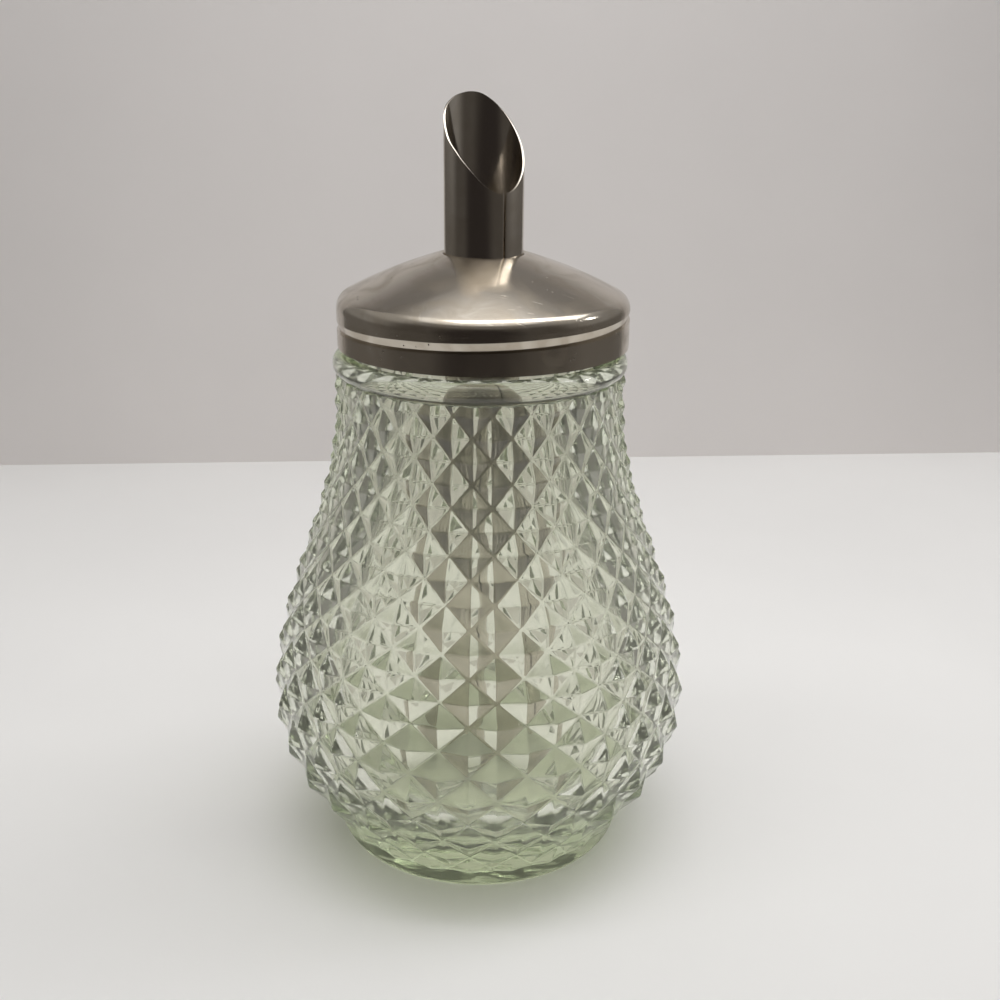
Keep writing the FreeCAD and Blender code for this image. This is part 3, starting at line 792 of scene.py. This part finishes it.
def make_board(width, depth):
    """A flat board for the studio, still in edit mode."""
    clear_selection()
    bpy.ops.mesh.primitive_plane_add(size=1, location=(0, 0, 0), enter_editmode=True)
    bpy.ops.transform.resize(value=(width, depth, 1))


def make_table():
    make_board(TABLE_WIDTH, TABLE_BACK - TABLE_FRONT)
    bpy.ops.transform.translate(value=(0, (TABLE_BACK + TABLE_FRONT) / 2, -TABLE_DROP))
    table = named("table")
    return table


def make_wall():
    """A pale wall behind the table, seen a little from one side."""
    make_board(WALL_WIDTH, WALL_HEIGHT)
    wall = named("wall")
    wall.matrix_world = (
        Matrix.Translation(WALL_PLACE)
        @ Matrix.Rotation(math.radians(WALL_TURN), 4, "Z")
        @ Matrix.Rotation(math.radians(90), 4, "X")
    )
    bpy.context.view_layer.update()
    return wall


def soft_lamp(name, place, target, size, power, in_reflections):
    """A softbox that hangs at a place and faces a target."""
    lamp = bpy.data.lights.new(name, "AREA")
    lamp.shape = "RECTANGLE"
    lamp.size, lamp.size_y = size
    lamp.energy = power
    holder = bpy.data.objects.new(name, lamp)
    bpy.context.scene.collection.objects.link(holder)
    holder.location = place
    holder.rotation_euler = (Vector(target) - Vector(place)).to_track_quat("-Z", "Y").to_euler()
    holder.visible_glossy = in_reflections


def light_room():
    """A room with a pale ceiling and dim walls, dimmest low down where the jar's front faces."""
    world = bpy.data.worlds.new("pale_room")
    bpy.context.scene.world = world
    world.use_nodes = True
    tree = world.node_tree
    split = tree.nodes.new("ShaderNodeSeparateXYZ")
    directions = tree.nodes.new("ShaderNodeTexCoord")
    fill(tree, split.inputs["Vector"], directions.outputs["Generated"])

    def blend(source, low, high, first, second):
        share = ranged(tree, source, low, high, interpolation="SMOOTHSTEP")
        return mixed(tree, share, first, second)

    darkest = (0.034, 0.029, 0.027)
    dim = (0.088, 0.080, 0.072)
    high_front = (0.20, 0.19, 0.18)
    floor = (0.15, 0.14, 0.13)
    side = (0.26, 0.25, 0.24)
    upper = (0.42, 0.41, 0.40)
    bright = (1.25, 1.23, 1.21)
    up, back = split.outputs["Z"], split.outputs["Y"]
    low_front = blend(back, -0.95, -0.72, darkest, dim)
    front = blend(up, 0.50, 0.72, low_front, high_front)
    sides = blend(up, 0.00, 0.20, floor, blend(up, 0.45, 0.65, side, upper))
    walls = blend(back, -0.50, 0.00, front, sides)
    background = tree.nodes["Background"]
    fill(tree, background.inputs["Color"], blend(up, 0.80, 0.93, walls, bright))


def set_camera():
    view = bpy.data.cameras.new("view")
    view.sensor_width = CAMERA_SENSOR
    view.lens = CAMERA_LENS
    holder = bpy.data.objects.new("view", view)
    bpy.context.scene.collection.objects.link(holder)
    stand = Vector(CAMERA_PLACE)
    turn = (Vector(CAMERA_AIM) - stand).to_track_quat("-Z", "Y").to_matrix().to_4x4()
    roll = Matrix.Rotation(math.radians(CAMERA_ROLL), 4, "Z")
    holder.matrix_world = Matrix.Translation(stand) @ turn @ roll
    bpy.context.scene.camera = holder


# ---------------------------------------------------------------------------- assembly

glass = glass_finish()
wear = wear_group()
lid_steel = steel_finish("lid_steel", wear, LID_COLOUR, roughness=0.11, smudges=0.8, scratches=1.0)
tube_steel = steel_finish(
    "tube_steel", wear, TUBE_COLOUR, roughness=0.12, smudges=0.5, scratches=0.5
)
finish_with(make_jar(), glass, "glass_jar")
finish_with(make_lid(), lid_steel, "lid")
finish_with(make_tube(), tube_steel, "pouring_tube")

make_table().data.materials.append(matt_finish("white_table", TABLE_COLOUR, grain_scale=1500))
# The wall's colour is darkened towards its top: painted shade for light that falls off up the wall
make_wall().data.materials.append(
    matt_finish("grey_wall", WALL_COLOUR, grain_scale=900, painted_shade=WALL_PAINTED_SHADE)
)
light_room()
for lamp in LAMPS:
    soft_lamp(*lamp)
set_camera()

scene = bpy.context.scene
scene.view_settings.view_transform = "Standard"

bpy.context.view_layer.update()
